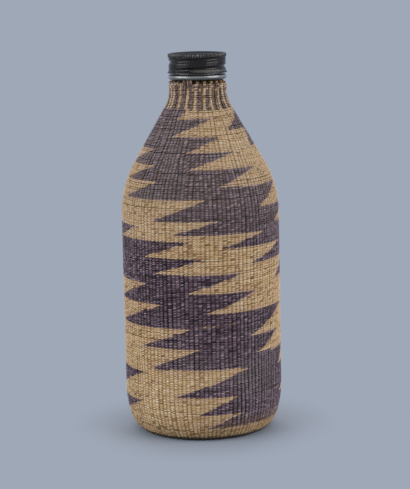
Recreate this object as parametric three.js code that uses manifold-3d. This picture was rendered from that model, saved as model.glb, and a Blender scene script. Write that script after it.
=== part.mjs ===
// A round glass bottle with a screw cap, covered by twined basketry with two saw-toothed dark bands.
// Lengths are in millimetres and angles in degrees. +Z is up, and angle 0 faces the front, along -Y.

import * as THREE from "three";
import { mergeVertices } from "three/addons/utils/BufferGeometryUtils.js";
import Module from "manifold-3d";

const wasm = await Module();
wasm.setup();

// Outside of the woven cover
const BODY_RADIUS = 39;
const FOOT_RADIUS = 30;
const HEEL_HEIGHT = 22;
const SHOULDER_START = 108;
const SHOULDER_ARC = 51;
const SHOULDER_ANGLE = 30;
const NECK_RADIUS = 14.2;
const NECK_FILLET = 16;
const NECK_STRAIGHT = 4.35;
const COLLAR_HEIGHT = 13.8;

// Layers of the cover, from the outside inwards
const WEFT_THICKNESS = 1;
const WARP_THICKNESS = 0.7;
const COLUMN_COUNT = 46;
const WARP_EVERY = 2;
const WARP_SPACING = 0.25;
const START_RADIUS = 12;
const LAYER_GAP = 0.3;
const SEAM_GAP = 0.3;
const ROW_HEIGHT = 1.2;

// Glass bottle
const GLASS_WALL = 2.4;
const PUSH_UP = 4;
const BEAD_RADIUS = 14.35;
const BEAD_HEIGHT = 2.9;
const BEAD_GAP = 0.6;
const FINISH_RADIUS = 12.45;
const MOUTH_ROUND = 0.6;

// Screw thread, right-handed
const THREAD_PITCH = 4.233;
const THREAD_HEIGHT = 0.85;
const THREAD_CLEARANCE = 0.25;
const RIDGE_RADIUS = 1;
const RIDGE_RISE = 0.42 * THREAD_PITCH;
const RIDGE_TURN = 360;
const ROLL_RADIUS = 1.3;
const ROLL_CLEARANCE = 0.4;
const ROLL_FROM = -420;
const ROLL_TO = 90;
const ROLL_DROP = 3.95;
const ROLL_END = 9;

// Screw cap and its liner
const CAP_HEIGHT = 10.25;
const CAP_WALL = 0.45;
const CAP_GAP = 0.25;
const CAP_EDGE = 0.9;
const KNURL_HEIGHT = 2.3;
const KNURL_DEPTH = 0.2;
const LIP_HEIGHT = 1.2;
const LIP_FLARE = 0.65;
const LINER_THICKNESS = 1.2;
const LINER_GAP = 0.25;

// Facets
const ROUND_STEPS = 30;
const THREAD_STEPS = 18;
const BLOCK_ANGLE = 30;
const BLOCK_REACH = 170;

// Teeth of one dark band, from the top down. A right tooth has a flat upper edge and a left tooth
// a flat lower edge: [height of the flat edge, angle of the tip, angle of the root]. The other band
// is the same, half a turn on.
const BAND_COPIES = 2;
const BAND_OVERRUN = 2.5;
const BAND_TOP_RIGHT = -14;
const BAND_TOP_LEFT = -70;
const BAND_FOOT = 7.5;
const RIGHT_TEETH = [
  [155.5, 13, -33],
  [147.4, 24, -38],
  [140.1, 32, -16],
  [132.4, 51, -12],
  [124, 80, 11],
  [113.7, 97, 46],
  [104.5, 125, 65],
  [98.4, 170, 95],
  [90.3, 182, 131],
  [82.6, 210, 140],
  [73.3, 222, 164],
  [63.8, 258, 182],
  [51.3, 248, 215],
  [42.2, 270, 221],
  [33.1, 309, 250],
  [18.5, 307, 250],
  [BAND_FOOT, 258, 258],
];
const LEFT_TEETH = [
  [150.5, -147, -98],
  [142, -110, -50],
  [134.6, -90, -40],
  [127.1, -80, -34],
  [118.7, -70, 6],
  [108.7, -36, 15],
  [102, -20, 55],
  [95.6, 17, 81],
  [87.6, 42, 95],
  [77.7, 68, 139],
  [68.1, 95, 152],
  [56.9, 101, 174],
  [46.6, 131, 178],
  [36.5, 141, 218],
  [22.7, 159, 207],
  [14.4, 176, 212],
  [BAND_FOOT, 184, 184],
];

// Sizes that follow from the ones above
const slope = THREE.MathUtils.degToRad(SHOULDER_ANGLE);
const coneRadius = BODY_RADIUS - SHOULDER_ARC * (1 - Math.cos(slope));
const coneStart = SHOULDER_START + SHOULDER_ARC * Math.sin(slope);
const coneEndRadius = NECK_RADIUS + NECK_FILLET * (1 - Math.cos(slope));
const coneEnd = coneStart + (coneRadius - coneEndRadius) / Math.tan(slope);
const neckStart = coneEnd + NECK_FILLET * Math.sin(slope);
const rimTop = neckStart + NECK_STRAIGHT;
const wallTop = rimTop - COLLAR_HEIGHT;
const bandTop = wallTop + BAND_OVERRUN;

const warpDepth = WEFT_THICKNESS + LAYER_GAP;
const warpBack = warpDepth + WARP_THICKNESS;
const glassDepth = warpBack + LAYER_GAP;
const boreDepth = glassDepth + GLASS_WALL;
const warpStart = START_RADIUS + SEAM_GAP;
const warpCrowd = Math.min(warpStart, NECK_RADIUS - warpBack);
const warpWidth = 2 * warpCrowd * Math.sin(Math.PI / COLUMN_COUNT) - WARP_SPACING;

const beadBottom = rimTop + BEAD_GAP;
const beadTop = beadBottom + BEAD_HEIGHT;
const capBottom = beadTop + CAP_GAP;
const capTop = capBottom + CAP_HEIGHT;
const linerTop = capTop - CAP_WALL - LINER_GAP;
const mouthTop = linerTop - LINER_THICKNESS - LINER_GAP;
const capBore = FINISH_RADIUS + THREAD_HEIGHT + THREAD_CLEARANCE;
const capSkirt = capBore + CAP_WALL;
const rollCentre = FINISH_RADIUS + ROLL_CLEARANCE + ROLL_RADIUS;
const rollHeight = capTop - ROLL_DROP;
const ridgeCentre = FINISH_RADIUS + THREAD_HEIGHT - RIDGE_RADIUS;
const ridgeHeight = rollHeight - THREAD_PITCH + RIDGE_RISE;

const materials = {
  tan: new THREE.MeshStandardMaterial({ color: 0xbb9c68, roughness: 0.8, metalness: 0 }),
  dark: new THREE.MeshStandardMaterial({ color: 0x4a3f4c, roughness: 0.75, metalness: 0 }),
  neck: new THREE.MeshStandardMaterial({ color: 0x8a7563, roughness: 0.8, metalness: 0 }),
  warp: new THREE.MeshStandardMaterial({ color: 0xa78a5c, roughness: 0.85, metalness: 0 }),
  glass: new THREE.MeshStandardMaterial({
    color: 0xb9c4c0,
    roughness: 0.08,
    metalness: 0,
    transparent: true,
    opacity: 0.45,
  }),
  lacquer: new THREE.MeshStandardMaterial({ color: 0x2b2523, roughness: 0.4, metalness: 0.6 }),
  board: new THREE.MeshStandardMaterial({ color: 0xc9b48c, roughness: 0.9, metalness: 0 }),
};

function point(radius, angle, height) {
  const turn = THREE.MathUtils.degToRad(angle);
  return new THREE.Vector3(radius * Math.sin(turn), -radius * Math.cos(turn), height);
}

// A closed solid from a geometry: equal vertices are merged and empty triangles dropped.
function solid(geometry) {
  const bare = geometry.clone();
  bare.deleteAttribute("normal");
  bare.deleteAttribute("uv");
  const merged = mergeVertices(bare, 1e-4);
  const triangles = [];
  for (let i = 0; i < merged.index.count; i += 3) {
    const [a, b, c] = merged.index.array.slice(i, i + 3);
    if (a !== b && b !== c && c !== a) {
      triangles.push(a, b, c);
    }
  }
  const vertProperties = new Float32Array(merged.attributes.position.array);
  const triVerts = new Uint32Array(triangles);
  return new wasm.Manifold(new wasm.Mesh({ numProp: 3, vertProperties, triVerts }));
}

function joined(solids) {
  return solids.reduce((whole, next) => whole.add(next));
}

function meshOf(name, body, material) {
  const { vertProperties, triVerts } = body.getMesh();
  const geometry = new THREE.BufferGeometry();
  geometry.setAttribute("position", new THREE.BufferAttribute(new Float32Array(vertProperties), 3));
  geometry.setIndex(new THREE.BufferAttribute(new Uint32Array(triVerts), 1));
  geometry.computeVertexNormals();
  const mesh = new THREE.Mesh(geometry, material);
  mesh.name = name;
  return mesh;
}

// Turned solid from a profile of (radius, height) points that runs up the outside.
function turned(profile) {
  const points = profile.map(([radius, height]) => new THREE.Vector2(radius, height));
  return solid(new THREE.LatheGeometry(points, ROUND_STEPS).rotateX(Math.PI / 2));
}

// Half outline from the foot to a height on the neck, at a depth below the woven surface.
function outline(depth, top) {
  const heelWidth = BODY_RADIUS - FOOT_RADIUS - depth;
  const heelRise = HEEL_HEIGHT - depth;
  const heel = new THREE.EllipseCurve(FOOT_RADIUS, HEEL_HEIGHT, heelWidth, heelRise, -Math.PI / 2, 0);
  const bend = SHOULDER_ARC - depth;
  const axis = BODY_RADIUS - SHOULDER_ARC;
  const shoulder = new THREE.EllipseCurve(axis, SHOULDER_START, bend, bend, 0, slope);
  const hollow = NECK_FILLET + depth;
  const turn = Math.PI + slope;
  const neckAxis = NECK_RADIUS + NECK_FILLET;
  const fillet = new THREE.EllipseCurve(neckAxis, neckStart, hollow, hollow, turn, Math.PI, true);
  const curves = [...heel.getPoints(3), ...shoulder.getPoints(3), ...fillet.getPoints(2)];
  return [...curves.map(({ x, y }) => [x, y]), [NECK_RADIUS - depth, top]];
}

// The part of a rising outline between two heights.
function between(points, low, high) {
  const kept = [];
  points.forEach(([radius, height], i) => {
    if (i > 0) {
      const [lastRadius, lastHeight] = points[i - 1];
      for (const level of [low, high]) {
        if (lastHeight < level && level < height) {
          const share = (level - lastHeight) / (height - lastHeight);
          kept.push([THREE.MathUtils.lerp(lastRadius, radius, share), level]);
        }
      }
    }
    if (height >= low && height <= high) {
      kept.push([radius, height]);
    }
  });
  return kept;
}

// Woven layer between two heights, as a closed ring.
function wovenRing(low, high) {
  const outer = between(outline(0, rimTop), low, high);
  const inner = between(outline(WEFT_THICKNESS, rimTop), Math.max(low, WEFT_THICKNESS), high);
  return turned([...outer, ...inner.reverse(), outer[0]]);
}

class Helix extends THREE.Curve {
  constructor(radius, height, from, to) {
    super();
    this.radius = radius;
    this.height = height;
    this.from = from;
    this.to = to;
  }

  getPoint(t, target = new THREE.Vector3()) {
    const angle = THREE.MathUtils.lerp(this.from, this.to, t);
    return target.copy(point(this.radius, angle, this.height + (THREAD_PITCH * angle) / 360));
  }
}

function helicalRod(helix, radius) {
  const section = new THREE.Shape();
  section.absarc(0, 0, radius, 0, 2 * Math.PI);
  const steps = Math.round((THREAD_STEPS * (helix.to - helix.from)) / 360);
  return solid(new THREE.ExtrudeGeometry(section, { curveSegments: 3, steps, extrudePath: helix }));
}

function wallRadius(height) {
  const wall = outline(WEFT_THICKNESS / 2, rimTop);
  const i = wall.findIndex(([, level]) => level >= height);
  const [[lowRadius, low], [highRadius, high]] = [wall[i - 1], wall[i]];
  return THREE.MathUtils.mapLinear(height, low, high, lowRadius, highRadius);
}

// Block between two [height, angle] corners of a band's edge, with one leaning flat face through both
// of them. The block reaches back from that face by an angle: to the left if that is negative.
function edgeBlock(low, high, reach) {
  const middle = (low[1] + high[1]) / 2;
  const radius = wallRadius((low[0] + high[0]) / 2);
  const outwards = point(1, middle, 0);
  const face = [low, high].flatMap(([height, angle]) => {
    const corner = point(radius, angle, height);
    return [-0.5, 1].map((share) => corner.clone().addScaledVector(outwards, share * radius));
  });
  const near = middle + (Math.sign(reach) * Math.abs(high[1] - low[1])) / 2;
  const steps = Math.ceil(Math.abs(middle + reach - near) / BLOCK_ANGLE);
  const sections = [face];
  for (let i = 1; i <= steps; i += 1) {
    const angle = THREE.MathUtils.lerp(near, middle + reach, i / steps);
    const heights = [low[0], high[0]];
    sections.push(heights.flatMap((height) => [0.5, 2].map((share) => point(share * radius, angle, height))));
  }
  return sectionBlock(reach > 0 ? sections : sections.reverse());
}

// Closed block from four-cornered sections in order of rising angle. Each section lists its lower
// inner, lower outer, upper inner and upper outer corner.
function sectionBlock(sections) {
  const index = [];
  const quad = (a, b, c, d) => index.push(a, b, c, a, c, d);
  const end = 4 * (sections.length - 1);
  for (let i = 0; i < end; i += 4) {
    quad(i, i + 4, i + 5, i + 1);
    quad(i + 2, i + 3, i + 7, i + 6);
    quad(i + 1, i + 5, i + 7, i + 3);
    quad(i, i + 2, i + 6, i + 4);
  }
  quad(0, 1, 3, 2);
  quad(end, end + 2, end + 3, end + 1);
  const geometry = new THREE.BufferGeometry();
  geometry.setFromPoints(sections.flat());
  geometry.setIndex(index);
  return solid(geometry);
}

// Edge of a band moved outwards by a gap, as [height, angle] corners from the top down. The leaning
// runs between the flat edges move by the same gap in height.
function bandEdge(teeth, side, gap) {
  const corners = teeth.flatMap(([height, tip, root]) => {
    const flat = [[height, root], [height, tip]];
    return side > 0 ? flat : flat.reverse();
  });
  const last = corners.length - 1;
  return corners.map(([height, angle], i) => {
    const next = corners[i % 2 === 0 ? Math.max(i - 1, 0) : Math.min(i + 1, last)];
    const lean = next[0] === height ? 0 : (next[1] - angle) / (next[0] - height);
    const rise = i < 2 ? gap : -gap;
    const level = height + (i < 2 || i > last - 2 ? rise : side * gap);
    return [level, angle + 2 * side * gap * lean];
  });
}

// Everything on the inner side of one edge of a band, within the reach of its blocks.
function edgeStack(teeth, side, gap, start) {
  const edge = bandEdge(teeth, side, gap).map(([height, angle]) => [height, start + angle]);
  const blocks = [];
  for (let i = 1; i + 1 < edge.length; i += 2) {
    blocks.push(edgeBlock(edge[i + 1], edge[i], -side * BLOCK_REACH));
  }
  return joined(blocks);
}

// Solid that cuts one dark band, grown by a gap, out of the woven layer. It overruns the wall's top.
function bandCutter(start, gap) {
  const right = [[bandTop, BAND_TOP_RIGHT, BAND_TOP_RIGHT], ...RIGHT_TEETH];
  const left = [[bandTop, BAND_TOP_LEFT, BAND_TOP_LEFT], ...LEFT_TEETH];
  return edgeStack(right, 1, gap, start).intersect(edgeStack(left, -1, gap, start));
}

function glassBottle() {
  const dome = [0, 0.5, 0.8].map((share) => [share * FOOT_RADIUS, PUSH_UP * (1 - share ** 2)]);
  const side = (BEAD_RADIUS + FINISH_RADIUS) / 2;
  const profile = [
    ...dome.map(([radius, rise]) => [radius, glassDepth + rise]),
    ...outline(glassDepth, beadBottom),
    [side, beadBottom + 0.12 * BEAD_HEIGHT],
    [BEAD_RADIUS, beadBottom + 0.38 * BEAD_HEIGHT],
    [BEAD_RADIUS, beadBottom + 0.66 * BEAD_HEIGHT],
    [side, beadTop - 0.08 * BEAD_HEIGHT],
    [FINISH_RADIUS, beadTop],
    [FINISH_RADIUS, mouthTop - MOUTH_ROUND],
    [FINISH_RADIUS - MOUTH_ROUND, mouthTop],
    [NECK_RADIUS - boreDepth + MOUTH_ROUND, mouthTop],
    ...outline(boreDepth, mouthTop - MOUTH_ROUND).reverse(),
    ...dome.map(([radius, rise]) => [radius, boreDepth + rise]).reverse(),
  ];
  const ridge = new Helix(ridgeCentre, ridgeHeight, -RIDGE_TURN / 2, RIDGE_TURN / 2);
  return turned(profile).add(helicalRod(ridge, RIDGE_RADIUS));
}

function screwCap() {
  const knurl = capSkirt + KNURL_DEPTH;
  const lip = capSkirt + LIP_FLARE;
  const outside = [
    [lip, capBottom],
    [lip, capBottom + LIP_HEIGHT / 3],
    [capSkirt, capBottom + LIP_HEIGHT],
    [capSkirt, capTop - KNURL_HEIGHT - KNURL_DEPTH],
    [knurl, capTop - KNURL_HEIGHT],
    [knurl, capTop - CAP_EDGE],
    [knurl - 0.3 * CAP_EDGE, capTop - 0.3 * CAP_EDGE],
    [knurl - CAP_EDGE, capTop],
    [0, capTop],
  ];
  const inside = [
    [0, capTop - CAP_WALL],
    [capBore, capTop - CAP_WALL],
    [capBore, capBottom + LIP_HEIGHT],
    [lip - CAP_WALL, capBottom],
  ];
  const shell = turned([...outside, ...inside, outside[0]]);
  const envelope = turned([[0, capBottom], ...outside]);
  const ridge = new Helix(rollCentre, rollHeight, ROLL_FROM, ROLL_TO);
  const groove = new Helix(rollCentre, rollHeight, ROLL_FROM + ROLL_END, ROLL_TO - ROLL_END);
  const roll = helicalRod(ridge, ROLL_RADIUS).intersect(envelope);
  return shell.add(roll).subtract(helicalRod(groove, ROLL_RADIUS - CAP_WALL));
}

function capLiner() {
  const radius = capBore - 2 * LINER_GAP;
  const bottom = linerTop - LINER_THICKNESS;
  return turned([[0, bottom], [radius, bottom], [radius, linerTop], [0, linerTop]]);
}

// One warp: the band between two depths under the weft, from the base start to the rim.
function warpGeometry() {
  const front = [[warpStart, warpDepth], ...outline(warpDepth, rimTop)];
  const back = [[warpStart, warpBack], ...outline(warpBack, rimTop)].reverse();
  const shape = new THREE.Shape([...front, ...back].map(([x, y]) => new THREE.Vector2(x, y)));
  const geometry = new THREE.ExtrudeGeometry(shape, { depth: warpWidth, bevelEnabled: false });
  return geometry.translate(0, 0, -warpWidth / 2).rotateX(Math.PI / 2);
}

function wovenCover() {
  const cover = new THREE.Group();
  const start = [[0, 0], [START_RADIUS, 0], [START_RADIUS, warpBack], [0, warpBack]];
  cover.add(meshOf("base_start", turned(start), materials.tan));

  const inner = START_RADIUS + SEAM_GAP;
  const outer = FOOT_RADIUS - SEAM_GAP;
  const base = [[inner, 0], [outer, 0], [outer, WEFT_THICKNESS], [inner, WEFT_THICKNESS], [inner, 0]];
  cover.add(meshOf("base_weft", turned(base), materials.tan));

  const wall = wovenRing(0, wallTop);
  let field = wall;
  for (let i = 0; i < BAND_COPIES; i += 1) {
    const turn = (360 * i) / BAND_COPIES;
    cover.add(meshOf(`dark_band_${i + 1}`, wall.intersect(bandCutter(turn, 0)), materials.dark));
    field = field.subtract(bandCutter(turn, SEAM_GAP));
  }
  cover.add(meshOf("tan_weft", field, materials.tan));

  const rimFoot = rimTop - ROW_HEIGHT;
  const collar = wovenRing(wallTop + SEAM_GAP, rimFoot - SEAM_GAP);
  cover.add(meshOf("neck_weft", collar, materials.neck));
  cover.add(meshOf("rim_row", wovenRing(rimFoot, rimTop), materials.dark));

  const warp = warpGeometry();
  const warpCount = Math.floor(COLUMN_COUNT / WARP_EVERY);
  for (let i = 0; i < warpCount; i += 1) {
    const mesh = new THREE.Mesh(warp, materials.warp);
    mesh.name = `warp_${String(i + 1).padStart(2, "0")}`;
    mesh.rotation.z = THREE.MathUtils.degToRad((360 * i) / warpCount - 90);
    cover.add(mesh);
  }
  return cover;
}

const bottle = new THREE.Group();
bottle.add(meshOf("glass_bottle", glassBottle(), materials.glass));
bottle.add(wovenCover());
bottle.add(meshOf("screw_cap", screwCap(), materials.lacquer));
bottle.add(meshOf("cap_liner", capLiner(), materials.board));

export default bottle;
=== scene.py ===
"""A glass bottle in a twined straw cover with a lacquered screw cap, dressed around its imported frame."""

import functools
import math

import bpy
import numpy as np
from bpy.props import FloatProperty, FloatVectorProperty, IntProperty, PointerProperty
from mathutils import Matrix, Vector
from mathutils.bvhtree import BVHTree


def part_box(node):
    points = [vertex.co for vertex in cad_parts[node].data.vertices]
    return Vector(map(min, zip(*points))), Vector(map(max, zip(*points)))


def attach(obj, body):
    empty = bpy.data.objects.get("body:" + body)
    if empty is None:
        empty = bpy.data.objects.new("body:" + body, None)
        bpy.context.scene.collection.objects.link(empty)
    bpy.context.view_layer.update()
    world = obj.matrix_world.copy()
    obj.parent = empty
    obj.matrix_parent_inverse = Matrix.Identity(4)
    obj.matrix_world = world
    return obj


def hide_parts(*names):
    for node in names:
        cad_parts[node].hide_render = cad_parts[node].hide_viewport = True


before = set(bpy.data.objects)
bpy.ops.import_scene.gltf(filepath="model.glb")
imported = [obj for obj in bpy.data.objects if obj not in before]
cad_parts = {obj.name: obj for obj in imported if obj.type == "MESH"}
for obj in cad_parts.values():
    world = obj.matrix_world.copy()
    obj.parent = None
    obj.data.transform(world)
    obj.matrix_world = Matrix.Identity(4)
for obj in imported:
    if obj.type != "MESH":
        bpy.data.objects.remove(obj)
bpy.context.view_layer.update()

bl_info = {
    "name": "Basket-covered bottle",
    "version": (1, 0, 0),
    "blender": (4, 5, 0),
    "location": "3D View > Sidebar > Bottle",
    "description": "Twines a straw cover round a glass bottle and presses its screw cap",
    "category": "Object",
}

MM = 0.001
GOLDEN = (math.sqrt(5) - 1) / 2
LINE_STEP = 0.25 * MM
ARC_POINTS = 60
WOVEN_NODES = ["base_start", "base_weft", "tan_weft", "dark_band_1", "dark_band_2", "neck_weft", "rim_row"]
POINT_VECTORS = ("face_out", "strand_run", "shape_size")
UPRIGHT = np.array([0.0, 0.0, 1.0])
# The floor and the lamps are set out in metres from the middle of the base.
FLOOR_SIDE = 12.0
LAMP_PLACES = {"left": (-1.1, -0.5, 0.53), "right": (1.1, -0.5, 0.53), "back": (0, 1.2, 0.6)}
LAMP_AIM = (0, 0, 0.09)


def linear(hex_colour):
    """Linear RGBA of an sRGB hex colour."""
    channels = [int(hex_colour[i:i + 2], 16) / 255 for i in (1, 3, 5)]
    return [c / 12.92 if c <= 0.04045 else ((c + 0.055) / 1.055) ** 2.4 for c in channels] + [1.0]


def reach(node):
    """Greatest distance of a CAD node from the bottle's axis."""
    return max(math.hypot(v.co.x, v.co.y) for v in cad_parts[node].data.vertices)


def length(name, description, default):
    return FloatProperty(name=name, description=description, default=default, unit="LENGTH", precision=5)


def angle(name, description, default):
    return FloatProperty(name=name, description=description, default=default, subtype="ANGLE")


def number(name, description, default):
    return FloatProperty(name=name, description=description, default=default)


def whole(name, description, default):
    return IntProperty(name=name, description=description, default=default)


def colour(name, description, default):
    return FloatVectorProperty(name=name, description=description, default=linear(default),
                               subtype="COLOR", size=4, min=0, max=1)


class CoverSettings(bpy.types.PropertyGroup):
    """Outline and weave of the straw cover"""
    body_radius: length("Body radius", "Outside of the wall", reach("tan_weft"))
    foot_radius: length("Foot radius", "Where the heel leaves the flat base", 30 * MM)
    heel_height: length("Heel height", "Where the heel meets the wall", 22 * MM)
    shoulder_start: length("Shoulder start", "Where the wall begins to lean in", 108 * MM)
    shoulder_arc: length("Shoulder arc", "Radius of the bend above the wall", 51 * MM)
    shoulder_angle: angle("Shoulder angle", "Lean of the shoulder", math.radians(30))
    neck_radius: length("Neck radius", "Outside of the neck", reach("rim_row"))
    neck_fillet: length("Neck fillet", "Radius of the hollow below the neck", 16 * MM)
    collar_height: length("Collar height", "Lower edge of the striped neck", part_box("neck_weft")[0].z)
    rim_height: length("Rim height", "Top of the last row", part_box("rim_row")[1].z)
    column_count: whole("Columns", "Columns of stitches round the body", 114)
    shoulder_columns: whole("Shoulder columns", "Columns of stitches left below the stripes", 60)
    stripe_count: whole("Stripes", "Light stripes round the neck", 23)
    stripe_columns: whole("Stripe columns", "Columns from one light stripe to the next", 3)
    row_pitch: length("Row pitch", "Height of one row of stitches", 0.82 * MM)
    row_end: angle("Row end", "Where the last row ends, from the front", math.radians(-12))
    strand_depth: length("Strand depth", "Thickness of one strand", 0.7 * MM)
    slant: angle("Slant", "Lean of each stitch", math.radians(14))
    wander: length("Wander", "How far a column strays from its line", 0.15 * MM)
    wave: length("Wave", "How far a row strays from its level", 0.22 * MM)
    gap: length("Gap", "How unevenly the rows are packed", 0.08 * MM)
    seed: whole("Seed", "Start of the random draws", 11)


class CapSettings(bpy.types.PropertyGroup):
    """Screw cap, and the glass finish that it fits"""
    pitch: length("Thread pitch", "Rise of the thread in one turn", 4.233 * MM)
    skirt_radius: length("Skirt radius", "Outside of the plain skirt", 14 * MM)
    wall: length("Wall", "Thickness of the tin plate", 0.45 * MM)
    edge: length("Edge", "Rounding of the top edge", 0.8 * MM)
    crown: length("Crown", "How far the top falls from its middle to its edge", 0.7 * MM)
    flare: length("Flare", "How far the lip stands out", 0.65 * MM)
    lip_height: length("Lip height", "Height of the flared lip", 1.3 * MM)
    knurl_count: whole("Knurls", "Ribs round the top edge", 72)
    knurl_height: length("Knurl height", "Length of a rib", 2.6 * MM)
    knurl_depth: length("Knurl depth", "How far a rib stands out", 0.32 * MM)
    groove_depth: length("Groove depth", "Depth of the rolled thread", 0.7 * MM)
    groove_drop: length("Groove drop", "Below the top, at the front", 3.95 * MM)
    groove_start: angle("Groove start", "Lower end of the rolled thread", math.radians(-411))
    groove_end: angle("Groove end", "Upper end of the rolled thread", math.radians(81))
    glass_wall: length("Glass wall", "Thickness of the glass", 2.4 * MM)
    push_up: length("Push-up", "Height of the dome under the glass", 4 * MM)
    finish_radius: length("Finish radius", "Glass between the threads", 12.45 * MM)
    bead_radius: length("Bead radius", "Glass ring below the cap", 14.35 * MM)
    bead_gap: length("Bead gap", "From the rim up to the glass ring", 0.6 * MM)
    bead_height: length("Bead height", "Height of the glass ring", 2.5 * MM)
    ridge_radius: length("Ridge radius", "Half width of the glass thread", 1 * MM)
    ridge_centre: length("Ridge centre", "Middle of the glass thread, from the axis", 12.3 * MM)
    ridge_drop: length("Ridge drop", "Glass thread below the cap's top, at the front", 6.4 * MM)


class FinishSettings(bpy.types.PropertyGroup):
    """Colours of the materials"""
    tan: colour("Tan straw", "Undyed strands", "#d8b88f")
    # Painted shade: the colour laid between undyed strands, where the grooves are in shade.
    tan_groove_shade: colour("Tan groove", "Between undyed strands", "#8e6f46")
    bleed: colour("Dye bleed", "Undyed strands beside the bands", "#b48f88")
    dark: colour("Dark straw", "Dyed strands", "#725760")
    # Painted shade: the colour laid between dyed strands, where the grooves are in shade.
    dark_groove_shade: colour("Dark groove", "Between dyed strands", "#1b1317")
    faded: colour("Faded dye", "Dyed strands bleached by the sun", "#8d8082")
    dust: colour("Dust", "On the shoulder and neck", "#a39484")
    # Darkens the strands in patches up to about 15 mm above the foot.
    foot_darkening: colour("Soil", "Grime above the foot", "#80643f")
    # Painted shadow: the near-black contact shadow along the lowest rows at the foot.
    foot_shadow: colour("Foot stain", "Lowest rows of the wall", "#261d17")
    # Painted highlight: the pale colour of the band along the crest of the glass ring.
    bead_highlight_colour: colour("Scuffed glass", "Crest of the glass ring", "#8f8f8c")
    lacquer: colour("Lacquer", "Screw cap", "#0b0707")
    tin: colour("Tin", "Where the lacquer is worn", "#9a968f")
    # The glass colour is painted dark as the shade of the empty inside and under the cap's lip.
    glass: colour("Glass", "Bottle", "#2f2f2d")
    backdrop: colour("Backdrop", "Floor and background", "#9fa8b7")


class StageSettings(bpy.types.PropertyGroup):
    """Camera and lights"""
    camera_side: length("Camera side", "Camera's distance right of the axis", 2 * MM)
    camera_back: length("Camera distance", "Camera's distance in front of the axis", 830 * MM)
    camera_height: length("Camera height", "Above the floor", 222 * MM)
    camera_pitch: angle("Camera pitch", "Downwards", math.radians(8.92))
    camera_roll: angle("Camera roll", "Top of the bottle to the left", math.radians(1.2))
    lens: number("Lens", "Focal length in millimetres on a 36 mm frame", 124.42)
    side_power: number("Side lights", "Watts of each soft light", 10.0)
    side_width: length("Light width", "Width of each soft light", 1200 * MM)
    side_height: length("Light height", "Height of each soft light", 700 * MM)
    sky: number("Sky", "Level of the light from all round", 0.45)


def add_node(tree, kind, links=None, stops=None, **settings):
    """Adds a node and returns its outputs. links gives each input, by name or number, a value or the output
    that feeds it, and stops lists the places and colours of a colour ramp."""
    node = tree.nodes.new(kind)
    for key, value in settings.items():
        setattr(node, key, value)
    for _ in (stops or [])[2:]:
        node.color_ramp.elements.new(1.0)
    for element, (place, tint) in zip(node.color_ramp.elements if stops else [], stops or []):
        element.position = place
        element.color = linear(tint) if isinstance(tint, str) else tint
    for key, value in (links or {}).items():
        if isinstance(value, bpy.types.NodeSocket):
            tree.links.new(value, node.inputs[key])
        else:
            node.inputs[key].default_value = value
    return node.outputs


def new_material(name):
    """An empty node material and its tree."""
    material = bpy.data.materials.new(name)
    material.use_nodes = True
    material.node_tree.nodes.clear()
    return material, material.node_tree


def arc(radius, height, width, rise, start, end, count):
    """Points on an ellipse round the centre (radius, height), from one angle to another."""
    return [(radius + width * math.cos(t), height + rise * math.sin(t))
            for t in np.linspace(start, end, count)]


def cover_line(depth=0.0):
    """Close (radius, height) points from the middle of the base to the rim, below the surface by a depth."""
    cover = bpy.context.scene.bottle_cover
    slope = cover.shoulder_angle
    bend = cover.shoulder_arc
    fillet = cover.neck_fillet
    cone_radius = cover.body_radius - bend * (1 - math.cos(slope))
    cone_start = cover.shoulder_start + bend * math.sin(slope)
    cone_end_radius = cover.neck_radius + fillet * (1 - math.cos(slope))
    cone_end = cone_start + (cone_radius - cone_end_radius) / math.tan(slope)
    neck_start = cone_end + fillet * math.sin(slope)
    arcs = [
        (cover.foot_radius, cover.heel_height, cover.body_radius - cover.foot_radius - depth,
         cover.heel_height - depth, -math.pi / 2, 0),
        (cover.body_radius - bend, cover.shoulder_start, bend - depth, bend - depth, 0, slope),
        (cover.neck_radius + fillet, neck_start, fillet + depth, fillet + depth, math.pi + slope, math.pi),
    ]
    points = [(0.0, depth)]
    for part in arcs:
        points += arc(*part, ARC_POINTS)
    points.append((cover.neck_radius - depth, cover.rim_height))
    points = np.array(points)
    run = run_of(points)
    even = np.append(np.arange(0, run[-1], LINE_STEP), run[-1])
    return np.column_stack([np.interp(even, run, points[:, i]) for i in (0, 1)])


def run_of(points):
    """Distance along a line of points."""
    return np.concatenate(([0.0], np.cumsum(np.hypot(*np.diff(points, axis=0).T))))


def around(turn):
    """Directions outwards and sideways at each angle from the front."""
    flat = np.zeros_like(turn)
    out = np.column_stack((np.sin(turn), -np.cos(turn), flat))
    return out, np.column_stack((np.cos(turn), np.sin(turn), flat))


def turned_mesh(name, profile, columns, shape=None):
    """Closed mesh turned from (radius, height) points that start and end on the axis.

    shape(turn, radius, height) may give each point another radius, with turn 0 at the front."""
    turn = np.linspace(-math.pi, math.pi, columns, endpoint=False)
    radius, height = np.array(profile)[1:-1].T
    radii = np.repeat(radius[:, None], columns, axis=1)
    if shape:
        radii = shape(turn[None, :], radii, height[:, None])
    heights = np.repeat(height[:, None], columns, axis=1)
    rings = np.stack((radii * np.sin(turn), -radii * np.cos(turn), heights), axis=2).reshape(-1, 3)
    points = np.vstack(([0, 0, profile[0][1]], rings, [0, 0, profile[-1][1]]))
    here = np.arange(columns)
    after = np.roll(here, -1)
    last = 1 + (len(radius) - 1) * columns
    faces = [(0, 1 + b, 1 + a) for a, b in zip(here, after)]
    for ring in range(1, last, columns):
        faces += zip(ring + here, ring + after, ring + columns + after, ring + columns + here)
    faces += [(last + a, last + b, len(points) - 1) for a, b in zip(here, after)]
    return plain_mesh(name, points, [tuple(map(int, face)) for face in faces])


def levels_of(radius, levels):
    """Points of an upright wall."""
    return [(radius, level) for level in levels]


def plain_mesh(name, points, faces):
    mesh = bpy.data.meshes.new(name)
    mesh.from_pydata([tuple(p) for p in points], [], faces)
    mesh.update()
    mesh.shade_smooth()
    return mesh


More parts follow.
